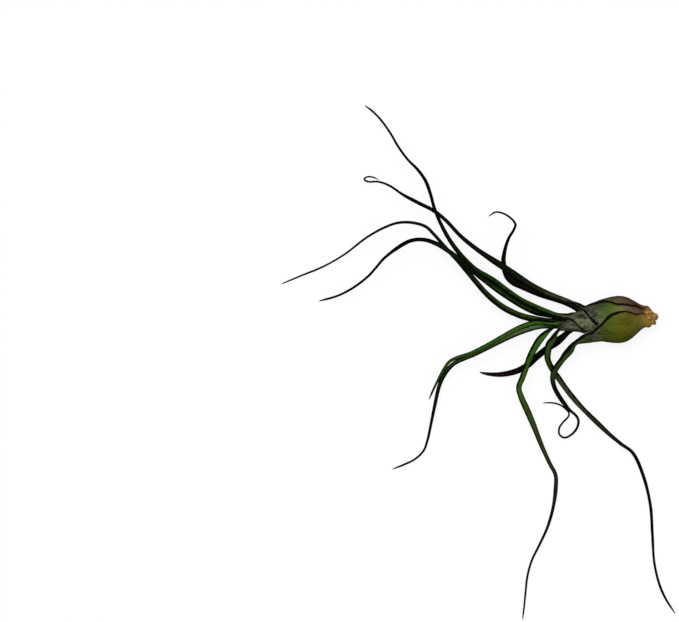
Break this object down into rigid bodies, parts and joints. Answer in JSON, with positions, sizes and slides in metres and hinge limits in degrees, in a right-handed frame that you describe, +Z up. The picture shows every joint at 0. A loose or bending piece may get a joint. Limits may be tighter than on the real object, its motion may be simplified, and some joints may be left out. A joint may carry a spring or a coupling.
{
  "type": "bulbosa air plant",
  "caption": "Air plant lying on its side: nested leaf sheaths form a pear-shaped bulb round a short rooted stem, and thin channelled leaves arch and curl away from its neck",
  "frame": {"origin": "middle of the bounding box's bottom, on the surface that the plant lies on", "axes": "+Y runs across the widest spread of the leaves, the bulb's root end points to +X, and +Z is up, square to the surface the plant lies on"},
  "size_m": [0.1979, 0.258, 0.0349],
  "materials": {
    "stem": "dry golden-brown stem base with broken root stubs, matt",
    "leaf_01": "brown sheath with purple-brown edge, dark green blade, satin",
    "leaf_02": "yellow-olive sheath with fine pale scales, dark green blade, satin",
    "leaf_03": "green sheath, brown near the root, nearly black blade, satin",
    "leaf_04": "grey-green sheath, dark blade with a dry red-brown end, satin",
    "leaf_05": "grey-green sheath, dark green blade with darker edges, satin",
    "leaf_06": "grey-green sheath, very dark green blade, satin",
    "leaf_07": "green blade with darker edges, satin",
    "leaf_08": "bright green blade near the neck, darker towards its tip, satin",
    "leaf_09": "bright green blade with a pale stripe, satin",
    "leaf_10": "dark green blade with nearly black edges, satin",
    "leaf_11": "thin green heart leaf, satin"
  },
  "bodies": {
    "root": {"stem": "stem", "leaf_01": "leaf_01", "leaf_02": "leaf_02", "leaf_03": "leaf_03", "leaf_04": "leaf_04", "leaf_05": "leaf_05", "leaf_06": "leaf_06", "leaf_07": "leaf_07", "leaf_08": "leaf_08", "leaf_09": "leaf_09", "leaf_10": "leaf_10", "leaf_11": "leaf_11"}
  },
  "joints": []
}
